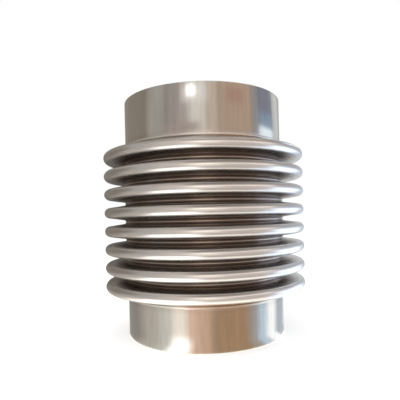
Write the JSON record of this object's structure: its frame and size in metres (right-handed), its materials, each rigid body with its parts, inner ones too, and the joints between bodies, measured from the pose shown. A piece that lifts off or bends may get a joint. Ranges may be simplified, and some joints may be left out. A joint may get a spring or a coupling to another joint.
{
  "type": "metal bellows expansion joint",
  "caption": "Unrestrained stainless bellows expansion joint: a convoluted thin-walled tube between plain weld-end pipe stubs, free to squeeze, stretch, bend and shift sideways.",
  "frame": {"origin": "centre of the lower pipe's end face, on which the joint stands", "axes": "+Z along the pipe axis, from the lower pipe end to the upper one; +X and +Y are alike, because the part is round"},
  "size_m": [0.1458, 0.1458, 0.1676],
  "materials": {
    "end_pipe": "satin, bright-rolled stainless tube",
    "bellows_ply": "bright-rolled stainless strip, smooth from forming",
    "weld_bead": "clean bright weld metal with fine ripples"
  },
  "bodies": {
    "lower_end": {"lower_end_pipe": "end_pipe", "lower_weld_bead": "weld_bead", "outer_ply_lower_cuff": "bellows_ply", "inner_ply_lower_cuff": "bellows_ply"},
    "crest_1": {"outer_ply_crest_1": "bellows_ply", "inner_ply_crest_1": "bellows_ply"},
    "root_1": {"outer_ply_root_1": "bellows_ply", "inner_ply_root_1": "bellows_ply"},
    "crest_2": {"outer_ply_crest_2": "bellows_ply", "inner_ply_crest_2": "bellows_ply"},
    "root_2": {"outer_ply_root_2": "bellows_ply", "inner_ply_root_2": "bellows_ply"},
    "crest_3": {"outer_ply_crest_3": "bellows_ply", "inner_ply_crest_3": "bellows_ply"},
    "root_3": {"outer_ply_root_3": "bellows_ply", "inner_ply_root_3": "bellows_ply"},
    "crest_4": {"outer_ply_crest_4": "bellows_ply", "inner_ply_crest_4": "bellows_ply"},
    "root_4": {"outer_ply_root_4": "bellows_ply", "inner_ply_root_4": "bellows_ply"},
    "crest_5": {"outer_ply_crest_5": "bellows_ply", "inner_ply_crest_5": "bellows_ply"},
    "root_5": {"outer_ply_root_5": "bellows_ply", "inner_ply_root_5": "bellows_ply"},
    "crest_6": {"outer_ply_crest_6": "bellows_ply", "inner_ply_crest_6": "bellows_ply"},
    "root_6": {"outer_ply_root_6": "bellows_ply", "inner_ply_root_6": "bellows_ply"},
    "crest_7": {"outer_ply_crest_7": "bellows_ply", "inner_ply_crest_7": "bellows_ply"},
    "root_7": {"outer_ply_root_7": "bellows_ply", "inner_ply_root_7": "bellows_ply"},
    "crest_8": {"outer_ply_crest_8": "bellows_ply", "inner_ply_crest_8": "bellows_ply"},
    "upper_end": {"upper_end_pipe": "end_pipe", "upper_weld_bead": "weld_bead", "outer_ply_upper_cuff": "bellows_ply", "inner_ply_upper_cuff": "bellows_ply"}
  },
  "joints": [
    {"name": "axial", "type": "slide", "parent": "lower_end", "child": "crest_1", "axis": [0, 0, 1], "range_m": [-0.0025, 0.00125], "stiffness_N_per_m": 150000, "springref_m": 0.00007},
    {"name": "bend_x_lower", "type": "hinge", "parent": "crest_1", "child": "root_1", "pos_m": [0, 0, 0.03965], "axis": [1, 0, 0], "range_deg": [-2, 2], "stiffness_Nm_per_rad": 160},
    {"name": "axial_2", "type": "slide", "parent": "root_1", "child": "crest_2", "axis": [0, 0, 1], "range_m": [-0.0025, 0.00125], "stiffness_N_per_m": 150000, "springref_m": 0.00006},
    {"name": "bend_y_lower", "type": "hinge", "parent": "crest_2", "child": "root_2", "pos_m": [0, 0, 0.05265], "axis": [0, 1, 0], "range_deg": [-2, 2], "stiffness_Nm_per_rad": 160},
    {"name": "axial_3", "type": "slide", "parent": "root_2", "child": "crest_3", "axis": [0, 0, 1], "range_m": [-0.0025, 0.00125], "stiffness_N_per_m": 150000, "springref_m": 0.00005},
    {"name": "bend_y_lower_follower", "type": "hinge", "parent": "crest_3", "child": "root_3", "pos_m": [0, 0, 0.06565], "axis": [0, 1, 0], "range_deg": [-2, 2], "stiffness_Nm_per_rad": 160},
    {"name": "axial_4", "type": "slide", "parent": "root_3", "child": "crest_4", "axis": [0, 0, 1], "range_m": [-0.0025, 0.00125], "stiffness_N_per_m": 150000, "springref_m": 0.00005},
    {"name": "bend_x_lower_follower", "type": "hinge", "parent": "crest_4", "child": "root_4", "pos_m": [0, 0, 0.07865], "axis": [1, 0, 0], "range_deg": [-2, 2], "stiffness_Nm_per_rad": 160},
    {"name": "axial_5", "type": "slide", "parent": "root_4", "child": "crest_5", "axis": [0, 0, 1], "range_m": [-0.0025, 0.00125], "stiffness_N_per_m": 150000, "springref_m": 0.00004},
    {"name": "bend_x_upper", "type": "hinge", "parent": "crest_5", "child": "root_5", "pos_m": [0, 0, 0.09165], "axis": [1, 0, 0], "range_deg": [-2, 2], "stiffness_Nm_per_rad": 160},
    {"name": "axial_6", "type": "slide", "parent": "root_5", "child": "crest_6", "axis": [0, 0, 1], "range_m": [-0.0025, 0.00125], "stiffness_N_per_m": 150000, "springref_m": 0.00004},
    {"name": "bend_y_upper", "type": "hinge", "parent": "crest_6", "child": "root_6", "pos_m": [0, 0, 0.10465], "axis": [0, 1, 0], "range_deg": [-2, 2], "stiffness_Nm_per_rad": 160},
    {"name": "axial_7", "type": "slide", "parent": "root_6", "child": "crest_7", "axis": [0, 0, 1], "range_m": [-0.0025, 0.00125], "stiffness_N_per_m": 150000, "springref_m": 0.00003},
    {"name": "bend_y_upper_follower", "type": "hinge", "parent": "crest_7", "child": "root_7", "pos_m": [0, 0, 0.11765], "axis": [0, 1, 0], "range_deg": [-2, 2], "stiffness_Nm_per_rad": 160},
    {"name": "axial_8", "type": "slide", "parent": "root_7", "child": "crest_8", "axis": [0, 0, 1], "range_m": [-0.0025, 0.00125], "stiffness_N_per_m": 150000, "springref_m": 0.00002},
    {"name": "bend_x_upper_follower", "type": "hinge", "parent": "crest_8", "child": "upper_end", "pos_m": [0, 0, 0.13065], "axis": [1, 0, 0], "range_deg": [-2, 2], "stiffness_Nm_per_rad": 160}
  ],
  "couplings": [
    {"joint": "axial_2", "follows": "axial", "ratio": 1},
    {"joint": "axial_3", "follows": "axial", "ratio": 1},
    {"joint": "bend_y_lower_follower", "follows": "bend_y_lower", "ratio": 1},
    {"joint": "axial_4", "follows": "axial", "ratio": 1},
    {"joint": "bend_x_lower_follower", "follows": "bend_x_lower", "ratio": 1},
    {"joint": "axial_5", "follows": "axial", "ratio": 1},
    {"joint": "axial_6", "follows": "axial", "ratio": 1},
    {"joint": "axial_7", "follows": "axial", "ratio": 1},
    {"joint": "bend_y_upper_follower", "follows": "bend_y_upper", "ratio": 1},
    {"joint": "axial_8", "follows": "axial", "ratio": 1},
    {"joint": "bend_x_upper_follower", "follows": "bend_x_upper", "ratio": 1}
  ]
}
